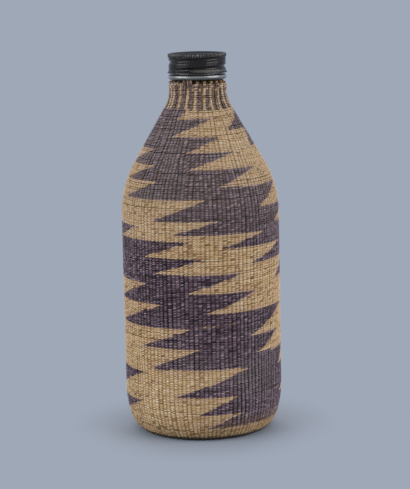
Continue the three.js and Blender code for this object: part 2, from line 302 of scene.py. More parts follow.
def set_attribute(mesh, name, values):
    """Keeps one number or one vector for each point of a mesh."""
    values = np.asarray(values, np.float32)
    kind, key = ("FLOAT_VECTOR", "vector") if values.ndim == 2 else ("FLOAT", "value")
    mesh.attributes.new(name, kind, "POINT").data.foreach_set(key, values.ravel())


def add_piece(name, mesh, body, material, nodes=()):
    """Puts a finished mesh into the scene on its body, for the CAD nodes that it stands for."""
    piece = bpy.data.objects.new(name, mesh)
    bpy.context.scene.collection.objects.link(piece)
    mesh.materials.clear()
    mesh.materials.append(material)
    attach(piece, body)
    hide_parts(*nodes)


# Materials

def straw(name, stops, groove_shade, tint, roughness, shaded=0.0):
    """Split plant strands, dried and worked damp: streaked along the fibres, a little glossy on the crests,
    with painted shade in the grooves, dusty on the shoulder, darker in patches above the foot and painted
    with a contact shadow at the foot. shaded says how far the painted groove shade climbs."""
    finish = bpy.context.scene.bottle_finish
    material, tree = new_material(name)
    tone, crest, tinted = [add_node(tree, "ShaderNodeAttribute", attribute_name=key)["Fac"]
                           for key in ("tone", "crest", "tinted")]
    strand = add_node(tree, "ShaderNodeUVMap", uv_map="strand")["UV"]
    place = add_node(tree, "ShaderNodeTexCoord")["Object"]
    # Fibres are about 0.1 mm wide and are drawn 0.25 mm wide and 2 mm long so that they show. The strand's
    # map is in millimetres.
    along = add_node(tree, "ShaderNodeMapping", {"Vector": strand, "Scale": (1 / 2, 1 / 0.25, 1)})["Vector"]
    fibre = add_node(tree, "ShaderNodeTexNoise", {"Vector": along, "W": tone, "Scale": 1, "Detail": 2},
                     noise_dimensions="4D")["Fac"]
    # Handling has toned the cover in patches about 25 mm across.
    patch = add_node(tree, "ShaderNodeTexNoise", {
        "Vector": place, "Scale": 1 / (25 * MM), "Detail": 3})["Fac"]
    # Both patterns lie about 0.5, so half of their two shares is taken off again.
    shade = add_node(tree, "ShaderNodeMath", {0: patch, 1: 0.4, 2: tone}, operation="MULTIPLY_ADD")[0]
    shade = add_node(tree, "ShaderNodeMath", {0: fibre, 1: 0.6, 2: shade}, operation="MULTIPLY_ADD")[0]
    shade = add_node(tree, "ShaderNodeMath", {0: shade, 1: 0.5}, operation="SUBTRACT", use_clamp=True)[0]
    base = add_node(tree, "ShaderNodeValToRGB", {"Fac": shade}, stops)["Color"]
    base = add_node(tree, "ShaderNodeMix", {0: tinted, 6: base, 7: tint}, data_type="RGBA")[2]
    # Painted shade: below a crest value of 0.9 the groove shade colour is mixed in, fully at the shaded level
    # and below.
    proud = add_node(tree, "ShaderNodeMapRange", {
        "Value": crest, "From Min": shaded, "From Max": 0.9})["Result"]
    base = add_node(tree, "ShaderNodeMix", {0: proud, 6: groove_shade, 7: base}, data_type="RGBA")[2]
    height = add_node(tree, "ShaderNodeSeparateXYZ", {0: place})["Z"]
    caught = add_node(tree, "ShaderNodeMapRange", {"Value": crest, "To Min": 0.4, "To Max": 1.0})["Result"]
    # Dust has settled above about 90 mm, where the shoulder turns up to it, most of it on the crests. The
    # strands are made darker in patches up to about 15 mm from the foot, and about 3 mm at the foot are
    # painted near black as the contact shadow.
    layers = [
        (85 * MM, 120 * MM, 0, 0.23, caught, finish.dust),
        (1 * MM, 15 * MM, 1.1, 0, patch, finish.foot_darkening),
        (1.3 * MM, 3.2 * MM, 0.95, 0, 1, finish.foot_shadow),
    ]
    for low, high, below, above, held, dirt in layers:
        amount = add_node(tree, "ShaderNodeMapRange", {
            "Value": height, "From Min": low, "From Max": high, "To Min": below, "To Max": above},
            interpolation_type="SMOOTHSTEP")["Result"]
        amount = add_node(tree, "ShaderNodeMath", {0: amount, 1: held},
                          operation="MULTIPLY", use_clamp=True)[0]
        base = add_node(tree, "ShaderNodeMix", {0: amount, 6: base, 7: dirt}, data_type="RGBA")[2]
    rough = add_node(tree, "ShaderNodeMapRange", {
        "Value": fibre, "To Min": roughness - 0.1, "To Max": roughness + 0.12})["Result"]
    bump = add_node(tree, "ShaderNodeBump", {
        "Height": fibre, "Strength": 0.5, "Distance": 0.06 * MM})["Normal"]
    shader = add_node(tree, "ShaderNodeBsdfPrincipled", {
        "Base Color": base, "Roughness": rough, "Normal": bump, "Specular IOR Level": 0.4, "IOR": 1.5})[0]
    add_node(tree, "ShaderNodeOutputMaterial", {"Surface": shader})
    return material


def tan_straw():
    """Undyed straw: brown where a strand is old, yellow or pink where it was cut green, else tan."""
    finish = bpy.context.scene.bottle_finish
    stops = [(0.0, "#7a5932"), (0.2, "#ab895a"), (0.4, finish.tan), (0.55, "#dcbc85"), (0.7, "#dfbf9f"),
             (0.85, "#e6cda5"), (1.0, "#f0e0c2")]
    return straw("Tan straw", stops, finish.tan_groove_shade, finish.bleed, roughness=0.55)


def dark_straw():
    """Straw dyed purple-brown: uneven from one strand to the next, greyer where the sun has faded it."""
    finish = bpy.context.scene.bottle_finish
    stops = [(0.0, "#281b23"), (0.25, "#4a3542"), (0.5, finish.dark), (0.75, "#897184"), (1.0, "#b7a1a1")]
    return straw("Dyed straw", stops, finish.dark_groove_shade, finish.faded, roughness=0.45, shaded=0.25)


def worn_straw():
    """Dyed straw of the neck, which the hand holds: rubbed back to a warm brown."""
    finish = bpy.context.scene.bottle_finish
    stops = [(0.0, "#382926"), (0.3, "#543e3a"), (0.55, "#6e544d"), (0.8, "#8e7364"), (1.0, "#b89e80")]
    return straw("Worn dyed straw", stops, finish.dark_groove_shade, finish.bleed, roughness=0.5)


def dull_fibre(name, grain, detail, stops, roughness, relief=0.0, stretch=1.0):
    """Dull plant fibre with a grain of some width, drawn out upwards by the stretch."""
    material, tree = new_material(name)
    place = add_node(tree, "ShaderNodeTexCoord")["Object"]
    along = add_node(tree, "ShaderNodeMapping", {"Vector": place, "Scale": (1, 1, 1 / stretch)})["Vector"]
    pattern = add_node(tree, "ShaderNodeTexNoise", {
        "Vector": along, "Scale": 1 / grain, "Detail": detail})["Fac"]
    base = add_node(tree, "ShaderNodeValToRGB", {"Fac": pattern}, stops)["Color"]
    bump = add_node(tree, "ShaderNodeBump", {
        "Height": pattern, "Strength": relief, "Distance": 0.1 * MM})["Normal"]
    shader = add_node(tree, "ShaderNodeBsdfPrincipled", {
        "Base Color": base, "Roughness": roughness, "Normal": bump})[0]
    add_node(tree, "ShaderNodeOutputMaterial", {"Surface": shader})
    return material


def backing_straw():
    """Back strands of the twining: one brown for tan and dyed alike, darker than the front strands as painted
    shade, dull, mottled every 2 mm.
    """
    stops = [(0.3, "#66503a"), (0.7, "#8a7053")]
    return dull_fibre("Backing straw", 2 * MM, 3, stops, roughness=0.85)


def split_stick():
    """Split willow: pale brown, dull, with half-millimetre grain that runs up the stick."""
    stops = [(0.3, "#6e4f30"), (0.7, "#a98459")]
    return dull_fibre("Split willow", 0.5 * MM, 4, stops, roughness=0.75, relief=0.4, stretch=12.5)


def pulp_board():
    """Pressed pulp board: matt buff with short dark fibres, under a millimetre long."""
    stops = [(0.35, "#8a7350"), (0.6, "#c8b48d")]
    return dull_fibre("Pulp board", 0.8 * MM, 6, stops, roughness=0.9, relief=0.3)


def soda_glass():
    """Moulded soda-lime glass: painted dark as the shade of its empty inside, glossy and only half clear
    under old dust, with a painted highlight, a pale line along the crest of its ring."""
    finish = bpy.context.scene.bottle_finish
    material, tree = new_material("Soda-lime glass")
    place = add_node(tree, "ShaderNodeTexCoord")["Object"]
    # Dust lies in patches about 6 mm across.
    dust = add_node(tree, "ShaderNodeTexNoise", {
        "Vector": place, "Scale": 1 / (6 * MM), "Detail": 4})["Fac"]
    rough = add_node(tree, "ShaderNodeMapRange", {
        "Value": dust, "From Min": 0.4, "From Max": 0.75, "To Min": 0.26, "To Max": 0.36})["Result"]
    bead_highlight = add_node(tree, "ShaderNodeAttribute", attribute_name="bead_highlight")["Fac"]
    # Painted highlight: the pale colour along the crest of the glass ring.
    base = add_node(tree, "ShaderNodeMix", {
        0: bead_highlight, 6: finish.glass, 7: finish.bead_highlight_colour}, data_type="RGBA")[2]
    shader = add_node(tree, "ShaderNodeBsdfPrincipled", {
        "Base Color": base, "Roughness": rough, "IOR": 1.52, "Transmission Weight": 0.3,
        "Specular IOR Level": 1.0, "Coat Weight": 1.0, "Coat Roughness": 0.2})[0]
    add_node(tree, "ShaderNodeOutputMaterial", {"Surface": shader})
    return material


def lacquered_tin():
    """Tin plate under a dark baked lacquer: glossy brown-black, rubbed to grey metal on edges and knurls."""
    finish = bpy.context.scene.bottle_finish
    material, tree = new_material("Lacquered tin plate")
    place = add_node(tree, "ShaderNodeTexCoord")["Object"]
    wear, dull = [add_node(tree, "ShaderNodeAttribute", attribute_name=key)["Fac"]
                  for key in ("wear", "dull")]
    # Rubbed spots are about 1.2 mm across, and the lacquer's own mottle about 5 mm.
    rub = add_node(tree, "ShaderNodeTexNoise", {
        "Vector": place, "Scale": 1 / (1.2 * MM), "Detail": 5, "Roughness": 0.65})["Fac"]
    mottle = add_node(tree, "ShaderNodeTexNoise", {
        "Vector": place, "Scale": 1 / (5 * MM), "Detail": 3})["Fac"]
    worn = add_node(tree, "ShaderNodeMath", {0: wear, 1: rub}, operation="ADD")[0]
    bare = add_node(tree, "ShaderNodeMapRange", {
        "Value": worn, "From Min": 0.78, "From Max": 1.3})["Result"]
    coat = add_node(tree, "ShaderNodeValToRGB", {"Fac": mottle},
                    [(0.35, finish.lacquer), (0.75, "#1a100d")])["Color"]
    base = add_node(tree, "ShaderNodeMix", {0: bare, 6: coat, 7: finish.tin}, data_type="RGBA")[2]
    rough = add_node(tree, "ShaderNodeMapRange", {"Value": rub, "To Min": 0.16, "To Max": 0.28})["Result"]
    rough = add_node(tree, "ShaderNodeMath", {0: rough, 1: dull}, operation="ADD", use_clamp=True)[0]
    bump = add_node(tree, "ShaderNodeBump", {
        "Height": worn, "Strength": 0.15, "Distance": 0.05 * MM})["Normal"]
    shader = add_node(tree, "ShaderNodeBsdfPrincipled", {
        "Base Color": base, "Metallic": bare, "Roughness": rough, "Normal": bump,
        "Specular IOR Level": 0.45})[0]
    add_node(tree, "ShaderNodeOutputMaterial", {"Surface": shader})
    return material


def background_rays(tree):
    """1 where the camera, a reflection or the glass looks at the background, and 0 where it only lights."""
    rays = add_node(tree, "ShaderNodeLightPath")
    seen = add_node(tree, "ShaderNodeMath", {0: rays["Is Camera Ray"], 1: rays["Is Glossy Ray"]},
                    operation="ADD")[0]
    return add_node(tree, "ShaderNodeMath", {0: seen, 1: rays["Is Transmission Ray"]},
                    operation="ADD", use_clamp=True)[0]


def backdrop_paper():
    """Matt blue-grey paper that takes the bottle's shadow and is even further out."""
    finish = bpy.context.scene.bottle_finish
    material, tree = new_material("Backdrop paper")
    place = add_node(tree, "ShaderNodeTexCoord")["Object"]
    far = add_node(tree, "ShaderNodeVectorMath", {0: place}, operation="LENGTH")["Value"]
    even = add_node(tree, "ShaderNodeMapRange", {"Value": far, "From Min": 33 * MM, "From Max": 75 * MM},
                    interpolation_type="SMOOTHSTEP")["Result"]
    mix = add_node(tree, "ShaderNodeMath", {0: even, 1: background_rays(tree)}, operation="MULTIPLY")[0]
    lit = add_node(tree, "ShaderNodeBsdfDiffuse", {"Color": finish.backdrop})[0]
    plain = add_node(tree, "ShaderNodeEmission", {"Color": finish.backdrop})[0]
    shader = add_node(tree, "ShaderNodeMixShader", {0: mix, 1: lit, 2: plain})[0]
    add_node(tree, "ShaderNodeOutputMaterial", {"Surface": shader})
    return material


# Twining

def spindle(name, size, section, stations, tips):
    """Closed rod along X that ends in two points. section lists (across, out, light), stations list (along,
    girth, sink, light) and tips list (along, out), all as shares of the size."""
    width, height, depth = size
    points = [(tips[0][0] * width, 0, tips[0][1] * depth)]
    crest = [0.0]
    for along, girth, sink, bright in stations:
        for across, out, light in section:
            points.append((along * width, across * girth * height, (out * girth - sink) * depth))
            # The crest attribute is painted light: 1 where a strand is painted lit, down to 0 where it is
            # painted in shade.
            crest.append(light * bright)
    points.append((tips[1][0] * width, 0, tips[1][1] * depth))
    crest.append(0.0)
    sides = len(section)
    way_round = 3 * height
    places = [tips[0][0], *[station[0] for station in stations], tips[1][0]]
    faces = []
    corners = []
    for ring in range(len(places) - 1):
        near = 1 + (ring - 1) * sides
        for side in range(sides):
            other = (side + 1) % sides
            quad = [(near + side, ring, side), (near + sides + side, ring + 1, side),
                    (near + sides + other, ring + 1, side + 1), (near + other, ring, side + 1)]
            if ring == 0:
                quad = [(0, 0, side + 0.5)] + quad[1:3]
            if ring == len(places) - 2:
                quad = [quad[0], (len(points) - 1, ring + 1, side + 0.5), quad[3]]
            faces.append([corner[0] for corner in quad])
            corners += [(places[stop] * width / MM, step / sides * way_round / MM) for _, stop, step in quad]
    mesh = plain_mesh(name, points, faces)
    set_attribute(mesh, "crest", crest)
    mesh.uv_layers.new(name="strand").uv.foreach_set("vector", np.array(corners, np.float32).ravel())
    return mesh


def stitch_mesh(width):
    """One stitch: flat on its crest, which lies at Z 0, with blunt ends that dive into the work."""
    cover = bpy.context.scene.bottle_cover
    # The third number of each section point and the last of each station are painted light: lit along the
    # crest, painted shade on the lower edges and the blunt ends.
    section = [(-0.66, -0.62, 0.0), (0.66, -0.62, 0.0), (0.12, 0.0, 1.0), (-0.12, 0.0, 1.0)]
    end, flat = (0.95, 0.34, 0.34), (1.0, 0.02, 1.0)
    stations = [(-0.5, *end), (-0.16, *flat), (0.16, *flat), (0.5, *end)]
    tips = [(-0.7, -0.85), (0.7, -0.85)]
    return spindle("stitch", (width, cover.row_pitch, cover.strand_depth), section, stations, tips)


def splinter_mesh():
    """One broken stick end: five-sided, tapering to a ragged point one millimetre along X."""
    # The third numbers are painted light: the outer faces lit, and the inner faces, the root and both points
    # painted in shade.
    section = [(math.sin(t) / 2, math.cos(t) / 2 - 0.5, 0.6 + 0.4 * math.cos(t))
               for t in np.arange(5) * 2 * math.pi / 5 + math.pi]
    stations = [(0.05, 0.9, 0.0, 0.7), (0.55, 1.0, 0.0, 1.0), (0.86, 0.6, 0.1, 1.0)]
    return spindle("splinter", (MM, MM, MM), section, stations, [(0.0, -0.5), (1.0, -0.2)])


def column_turns(radius, place):
    """Number, angle and share of the round of each column in a row on the "base", "wall" or "neck"."""
    cover = bpy.context.scene.bottle_cover
    if place == "neck":
        light_width = 1.2
        share = np.ones(cover.stripe_count * cover.stripe_columns)
        share[::cover.stripe_columns] = light_width
        share /= share.sum()
    else:
        # The last columns to join are still narrow, and one under a tenth of the full width is left out.
        joining = 16
        narrowest = 0.1
        low = cover.neck_radius + 3 * MM
        spare = cover.column_count + joining - cover.shoulder_columns
        count = cover.shoulder_columns + spare * (radius - low) / (cover.body_radius - low)
        if place == "base":
            count = cover.shoulder_columns * radius / low
        rank = np.argsort(np.argsort(np.arange(cover.column_count) * GOLDEN % 1))
        weight = np.clip((count - rank) / joining, 0, 1)
        weight[weight < narrowest] = 0
        weight *= np.random.default_rng(cover.seed).uniform(0.9, 1.1, cover.column_count)
        share = weight / weight.sum()
    turn = 2 * math.pi * (np.cumsum(share) - share / 2) - math.pi
    column = np.flatnonzero(share)
    return column, turn[column], share[column]


def soft_noise(draw, rows, columns, row_reach, column_reach):
    """Random field of unit spread that changes smoothly over some rows and columns."""
    field = np.fft.fft2(draw.standard_normal((rows, columns)))
    field *= np.exp(-2 * (math.pi * row_reach * np.fft.fftfreq(rows)[:, None]) ** 2)
    field *= np.exp(-2 * (math.pi * column_reach * np.fft.fftfreq(columns)[None, :]) ** 2)
    field = np.fft.ifft2(field).real
    return field / field.std()


@functools.cache
def lay_stitches():
    """Every stitch of the cover, in one spiral from the middle of the base to the rim, as rows of arrays."""
    cover = bpy.context.scene.bottle_cover
    line = cover_line()
    run = run_of(line)
    slope = np.gradient(line, axis=0)
    slope /= np.linalg.norm(slope, axis=1)[:, None]
    draw = np.random.default_rng(cover.seed)
    starts = np.arange(2 * MM, run[-1] - 1.4 * cover.row_pitch, cover.row_pitch)
    grid = len(starts), cover.column_count
    # The last two numbers of each field are its reach in rows and in columns.
    stray = cover.wander * soft_noise(draw, *grid, 9, 0.6)
    lift = cover.wave * soft_noise(draw, *grid, 8, 8) + cover.gap * soft_noise(draw, *grid, 0.3, 9)
    rib_tone = soft_noise(draw, *grid, 10, 0.4)
    fading = soft_noise(draw, *grid, 8, 4)
    splice = draw.random((*grid, 2))
    # A strand lasts for about 31 stitches before the next is spliced in.
    splice_run = 31
    middle_tone, stitch_tones, rib_tones, splice_tones, gap_shade_tone = 0.54, 0.64, 0.03, 0.25, 0.6
    # Stitches painted dark as the shade of small gaps are rare, except on the rubbed heel.
    heel_top, heel_gap_shades, few_gap_shades = 9 * MM, 0.18, 0.015
    parts = []
    for row, start in enumerate(starts):
        radius, height = [np.interp(start + cover.row_pitch / 2, run, line[:, i]) for i in (0, 1)]
        zone = "neck" if height > cover.collar_height else "base" if start < cover.foot_radius else "wall"
        column, turn, share = column_turns(radius, zone)
        along = start + cover.row_pitch * ((turn - cover.row_end) / (2 * math.pi) % 1) + lift[row, column]
        wild = 3 if zone == "neck" else 1
        turn = turn + wild * stray[row, column] / max(radius, cover.neck_radius)
        order = np.arange(len(column))
        chance = draw.random(len(column))
        gap_shade = draw.random(len(column)) < (heel_gap_shades if height < heel_top else few_gap_shades)
        tone = middle_tone + rib_tones * wild * rib_tone[row, column] + stitch_tones * (chance - 0.5)
        tone += splice_tones * (splice[row, column // splice_run, order % 2] - 0.5)
        tone -= gap_shade_tone * gap_shade
        level = np.full(len(column), row)
        on_neck = np.full(len(column), zone == "neck")
        fade = fading[row, column]
        parts.append(np.column_stack((along, turn, share, tone, order, level, on_neck, fade, chance)))
    along, turn, share, tone, order, row, on_neck, fade, chance = np.vstack(parts).T
    radius, height, lean_out, lean_up = [
        np.interp(along, run, values) for values in (line[:, 0], line[:, 1], slope[:, 0], slope[:, 1])]
    front, side = around(turn)
    climb = lean_out[:, None] * front + lean_up[:, None] * UPRIGHT
    face_out = lean_up[:, None] * front - lean_out[:, None] * UPRIGHT
    place = radius[:, None] * front + height[:, None] * UPRIGHT
    node, to_dark = nearest_node(place, on_neck > 0)
    # Dye bleeds a little over a millimetre into the tan, and the hand has spread it on the neck.
    rubbed = np.where(order % cover.stripe_columns, 0.15, 0.3)
    bleed = np.where(on_neck > 0, rubbed, 0.75 * np.exp(-to_dark / (1.3 * MM))) * (0.3 + 0.7 * chance)
    # The sun has faded the dye in patches, and more towards the collar.
    risen = np.clip((height - cover.shoulder_start) / (cover.collar_height - cover.shoulder_start), 0, 1)
    faded = np.clip(0.22 * fade + 0.25 * risen, 0, 0.7)
    sunk = 0.22 * MM * draw.random(len(turn)) ** 2
    return {
        "place": place - sunk[:, None] * face_out,
        "node": node,
        "face_out": face_out,
        "strand_run": math.cos(cover.slant) * side + math.sin(cover.slant) * climb,
        "width": 2 * math.pi * radius * share,
        "tone": tone,
        "tinted": np.where(np.char.startswith(node, "dark"), faded, bleed),
        "order": order,
        "row": row,
        "turn": turn,
    }


def nearest_node(places, on_neck):
    """Name of the woven CAD node nearest to each place, on or below the neck, and the way to the dark."""
    far = np.empty((len(places), len(WOVEN_NODES)))
    for i, node in enumerate(WOVEN_NODES):
        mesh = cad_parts[node].data
        tree = BVHTree.FromPolygons([v.co for v in mesh.vertices], [f.vertices for f in mesh.polygons])
        far[:, i] = [tree.find_nearest(place)[3] for place in places]
    to_dark = far[:, [node.startswith("dark") for node in WOVEN_NODES]].min(axis=1)
    neck_node = np.array([node in ("neck_weft", "rim_row") for node in WOVEN_NODES])
    far[on_neck[:, None] != neck_node[None, :]] = np.inf
    return np.array(WOVEN_NODES)[far.argmin(axis=1)], to_dark


def repeat_tree():
    """Geometry nodes that set one shape on every point, turned, sized and toned by the point's attributes."""
    tree = bpy.data.node_groups.new("Repeat on points", "GeometryNodeTree")
    kinds = {"Points": "Geometry", "Shape": "Object", "Material": "Material", "Swing": "Float",
             "Uneven": "Float", "Seed": "Int"}
    sockets = {key: tree.interface.new_socket(key, in_out="INPUT", socket_type=f"NodeSocket{kind}")
               for key, kind in kinds.items()}
    tree.interface.new_socket("Repeated", in_out="OUTPUT", socket_type="NodeSocketGeometry")
    given = add_node(tree, "NodeGroupInput")
    named = {
        key: add_node(tree, "GeometryNodeInputNamedAttribute", {"Name": key},
                      data_type="FLOAT_VECTOR")["Attribute"]
        for key in POINT_VECTORS
    }
    shape = add_node(tree, "GeometryNodeObjectInfo", {"Object": given["Shape"]})["Geometry"]
    facing = add_node(tree, "FunctionNodeAxesToRotation", {
        "Primary Axis": named["face_out"], "Secondary Axis": named["strand_run"]},
        primary_axis="Z", secondary_axis="X")["Rotation"]
    back = add_node(tree, "ShaderNodeMath", {0: given["Swing"], 1: -1.0}, operation="MULTIPLY")[0]
    swing = add_node(tree, "FunctionNodeRandomValue", {
        2: back, 3: given["Swing"], "Seed": given["Seed"]}, data_type="FLOAT")[1]
    swing = add_node(tree, "ShaderNodeCombineXYZ", {"Z": swing})[0]
    turned = add_node(tree, "FunctionNodeRotateRotation", {"Rotation": facing, "Rotate By": swing},
                      rotation_space="LOCAL")["Rotation"]
    low = add_node(tree, "ShaderNodeMath", {0: 1.0, 1: given["Uneven"]}, operation="SUBTRACT")[0]
    high = add_node(tree, "ShaderNodeMath", {0: 1.0, 1: given["Uneven"]}, operation="ADD")[0]
    other = add_node(tree, "ShaderNodeMath", {0: given["Seed"], 1: 1.0}, operation="ADD")[0]
    size = add_node(tree, "FunctionNodeRandomValue", {2: low, 3: high, "Seed": other}, data_type="FLOAT")[1]
    scale = add_node(tree, "ShaderNodeVectorMath", {0: named["shape_size"], "Scale": size},
                     operation="SCALE")["Vector"]
    copies = add_node(tree, "GeometryNodeInstanceOnPoints", {
        "Points": given["Points"], "Instance": shape, "Rotation": turned, "Scale": scale})["Instances"]
    whole_mesh = add_node(tree, "GeometryNodeRealizeInstances", {"Geometry": copies})["Geometry"]
    dressed = add_node(tree, "GeometryNodeSetMaterial", {
        "Geometry": whole_mesh, "Material": given["Material"]})["Geometry"]
    add_node(tree, "NodeGroupOutput", {"Repeated": dressed})
    return tree, {key: socket.identifier for key, socket in sockets.items()}


def repeat_shape(name, shape_data, points, attributes, material, swing, uneven, seed):
    """One plain mesh of a shape repeated on points, with a picture cell of its own for each copy."""
    tree, keys = repeat_tree()
    shape = bpy.data.objects.new("shape", shape_data)
    cloud = bpy.data.meshes.new("points")
    cloud.from_pydata([tuple(p) for p in points], [], [])
    for key, values in attributes.items():
        set_attribute(cloud, key, values)
    holder = bpy.data.objects.new("points", cloud)
    for item in (shape, holder):
        bpy.context.scene.collection.objects.link(item)
    modifier = holder.modifiers.new("Repeat", "NODES")
    modifier.node_group = tree
    inputs = {"Shape": shape, "Material": material, "Swing": swing, "Uneven": uneven, "Seed": seed}
    for key, value in inputs.items():
        modifier[keys[key]] = value
    view = bpy.context.evaluated_depsgraph_get()
    mesh = bpy.data.meshes.new_from_object(
        holder.evaluated_get(view), preserve_all_data_layers=True, depsgraph=view)
    mesh.name = name
    holder.modifiers.remove(modifier)
    corners = np.empty(2 * len(shape_data.loops), np.float32)
    shape_data.uv_layers["strand"].uv.foreach_get("vector", corners)
    for item in (shape, holder):
        bpy.data.objects.remove(item)
    bpy.data.node_groups.remove(tree)
    for key in POINT_VECTORS:
        if key in mesh.attributes:
            mesh.attributes.remove(mesh.attributes[key])
    corners = corners.reshape(-1, 2)
    corners = (corners - corners.min(axis=0)) / np.ptp(corners, axis=0)
    margin = 0.05
    cells = math.ceil(math.sqrt(len(points)))
    cell = np.column_stack((np.arange(len(points)) % cells, np.arange(len(points)) // cells))
    spread = (cell[:, None, :] + margin + (1 - 2 * margin) * corners[None, :, :]) / cells
    mesh.uv_layers.new(name="OFBake").uv.foreach_set("vector", spread.astype(np.float32).ravel())
    mesh.shade_smooth()
    return mesh


def twine(name, stitches, chosen, material, slot, nodes=(), swing=math.radians(6), uneven=0.09):
    """One piece of twining: the chosen stitches of the cover."""
    cover = bpy.context.scene.bottle_cover
    width = 2 * math.pi * cover.body_radius / cover.column_count
    count = int(chosen.sum())
    if not count:
        raise RuntimeError(f"{name} has no stitches")
    attributes = {key: stitches[key][chosen] for key in ("face_out", "strand_run", "tone", "tinted")}
    attributes["shape_size"] = np.column_stack((stitches["width"][chosen] / width, np.ones((count, 2))))
    mesh = repeat_shape(name, stitch_mesh(width), stitches["place"][chosen], attributes, material,
                        swing, uneven, cover.seed)
    add_piece(name, mesh, "bottle", material, nodes)


class BOTTLE_OT_stage(bpy.types.Operator):
    """Sets the floor, the lights and the camera"""
    bl_idname = "covered_bottle.set_stage"
    bl_label = "Set the stage"

    def execute(self, context):
        stage = context.scene.bottle_stage
        finish = context.scene.bottle_finish
        half = FLOOR_SIDE / 2
        mesh = plain_mesh("floor", [(-half, -half, 0), (half, -half, 0), (half, half, 0), (-half, half, 0)],
                          [(0, 1, 2, 3)])
        mesh.materials.append(backdrop_paper())
        floor = bpy.data.objects.new("floor", mesh)
        context.scene.collection.objects.link(floor)
        for name, place in LAMP_PLACES.items():
            lamp = bpy.data.lights.new(f"{name}_light", "AREA")
            lamp.shape = "RECTANGLE"
            lamp.size = stage.side_width
            lamp.size_y = stage.side_height
            lamp.energy = stage.side_power
            lit = bpy.data.objects.new(f"{name}_light", lamp)
            lit.location = place
            # The back light only fills the far side, and shows in no gloss.
            lit.visible_glossy = name != "back"
            aim = Vector(LAMP_AIM) - lit.location
            lit.rotation_euler = aim.to_track_quat("-Z", "Y").to_euler()
            context.scene.collection.objects.link(lit)
        world = bpy.data.worlds.new("Studio")
        world.use_nodes = True
        tree = world.node_tree
        tree.nodes.clear()
        sky = add_node(tree, "ShaderNodeBackground", {"Color": (1, 1, 1, 1), "Strength": stage.sky})[0]
        back = add_node(tree, "ShaderNodeBackground", {"Color": finish.backdrop, "Strength": 1})[0]
        both = add_node(tree, "ShaderNodeMixShader", {0: background_rays(tree), 1: sky, 2: back})[0]
        add_node(tree, "ShaderNodeOutputWorld", {"Surface": both})
        context.scene.world = world
        lens = bpy.data.cameras.new("camera")
        lens.lens = stage.lens
        lens.sensor_width = 36
        camera = bpy.data.objects.new("camera", lens)
        camera.location = (stage.camera_side, -stage.camera_back, stage.camera_height)
        tilt = Matrix.Rotation(math.pi / 2 - stage.camera_pitch, 3, "X")
        camera.rotation_euler = (tilt @ Matrix.Rotation(-stage.camera_roll, 3, "Z")).to_euler()
        context.scene.collection.objects.link(camera)
        context.scene.camera = camera
        context.scene.view_settings.view_transform = "Standard"
        return {"FINISHED"}


class BOTTLE_OT_glass(bpy.types.Operator):
    """Blows the glass bottle with its bead and screw thread"""
    bl_idname = "covered_bottle.blow_glass"
    bl_label = "Blow the glass"

    def execute(self, context):
        cap = context.scene.bottle_cap
        cover = context.scene.bottle_cover
        low, high = (corner.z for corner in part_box("glass_bottle"))
        inner_depth = low + cap.glass_wall
        outside = cover_line(low)[::6]
        inside = cover_line(inner_depth)[::6]
        for line in (outside, inside):
            dome = np.clip(1 - (line[:, 0] / cover.foot_radius) ** 2, 0, 1) * (line[:, 1] < 2 * inner_depth)
            line[:, 1] += cap.push_up * dome
        bead_low = cover.rim_height + cap.bead_gap
        bead_high = bead_low + cap.bead_height
        half = cap.bead_height / 2
        bulge = cap.bead_radius - cap.finish_radius
        fullness = 0.36
        bead = [(cap.finish_radius + bulge * math.cos(t) ** fullness, bead_low + half + half * math.sin(t))
                for t in np.linspace(-math.pi / 2, math.pi / 2, 24)]
        rounding = 0.6 * MM
        step = 0.15 * MM
        shoulder = high - rounding
        finish = levels_of(cap.finish_radius, np.arange(bead_high + step, shoulder, step))
        mouth = arc(cap.finish_radius - rounding, shoulder, rounding, rounding, 0, math.pi / 2, 8)
        bore = cover.neck_radius - inner_depth
        lip = arc(bore + rounding, shoulder, rounding, rounding, math.pi / 2, math.pi, 8)
        profile = [*outside, *bead, *finish, *mouth, *lip, *inside[::-1]]
        ridge_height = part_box("screw_cap")[1].z - cap.ridge_drop
        ridge_end = math.radians(20)

        def thread(turn, radius, height):
            ends = np.clip((math.pi - abs(turn)) / ridge_end, 0, 1)
            across = (height - ridge_height - cap.pitch * turn / (2 * math.pi)) / cap.ridge_radius
            swell = np.sqrt(np.clip(1 - across ** 2, 0, 1)) - 1 + ends
            on_finish = (height > bead_high) & (radius > cap.finish_radius - 0.01 * MM)
            ridge = cap.ridge_centre + cap.ridge_radius * swell
            return np.where(on_finish, np.maximum(radius, ridge), radius)

        mesh = turned_mesh("glass_bottle_blown", profile, 144, thread)
        x, y, z = np.array([v.co for v in mesh.vertices]).T
        # Painted highlight: a pale band round the glass ring, a little above its middle, on its outer half.
        highlight_height, highlight_half = bead_low + 1.5 * MM, 0.6 * MM
        crest = np.clip(1.2 - abs(z - highlight_height) / highlight_half, 0, 1)
        set_attribute(mesh, "bead_highlight", crest * (np.hypot(x, y) > cap.finish_radius + bulge / 2))
        add_piece("bottle_glass", mesh, "bottle", soda_glass(), ["glass_bottle"])
        return {"FINISHED"}


